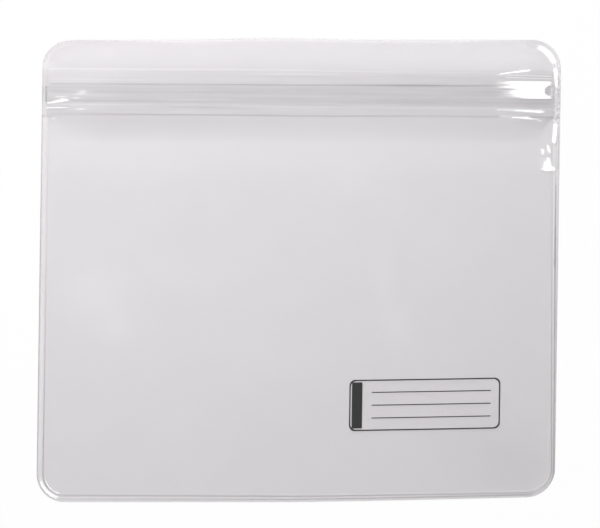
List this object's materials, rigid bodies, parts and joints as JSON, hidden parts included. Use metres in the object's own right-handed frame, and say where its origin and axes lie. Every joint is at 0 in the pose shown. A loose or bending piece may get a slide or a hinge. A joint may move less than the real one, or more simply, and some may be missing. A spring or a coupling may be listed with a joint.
{
  "type": "waterproof document pouch",
  "caption": "Flat clear plastic pouch, welded on three sides, with a press-to-close zip along the top for keeping papers dry.",
  "frame": {"origin": "on the underside of the back film, at the middle of the pouch's width and height", "axes": "+X across the pouch, +Y from the bottom weld towards the zip and the open lips, +Z from the back film up to the front film"},
  "size_m": [0.22, 0.196, 0.0027],
  "materials": {
    "clear_film": "glossy, faintly milky clear PVC film",
    "zip_plastic": "glossy clear extruded PVC strip",
    "print_ink": "flat black screen print"
  },
  "bodies": {
    "root": {"back_film": "clear_film", "front_film": "clear_film", "zip_rib_strip": "zip_plastic", "zip_groove_strip": "zip_plastic"}
  },
  "joints": []
}
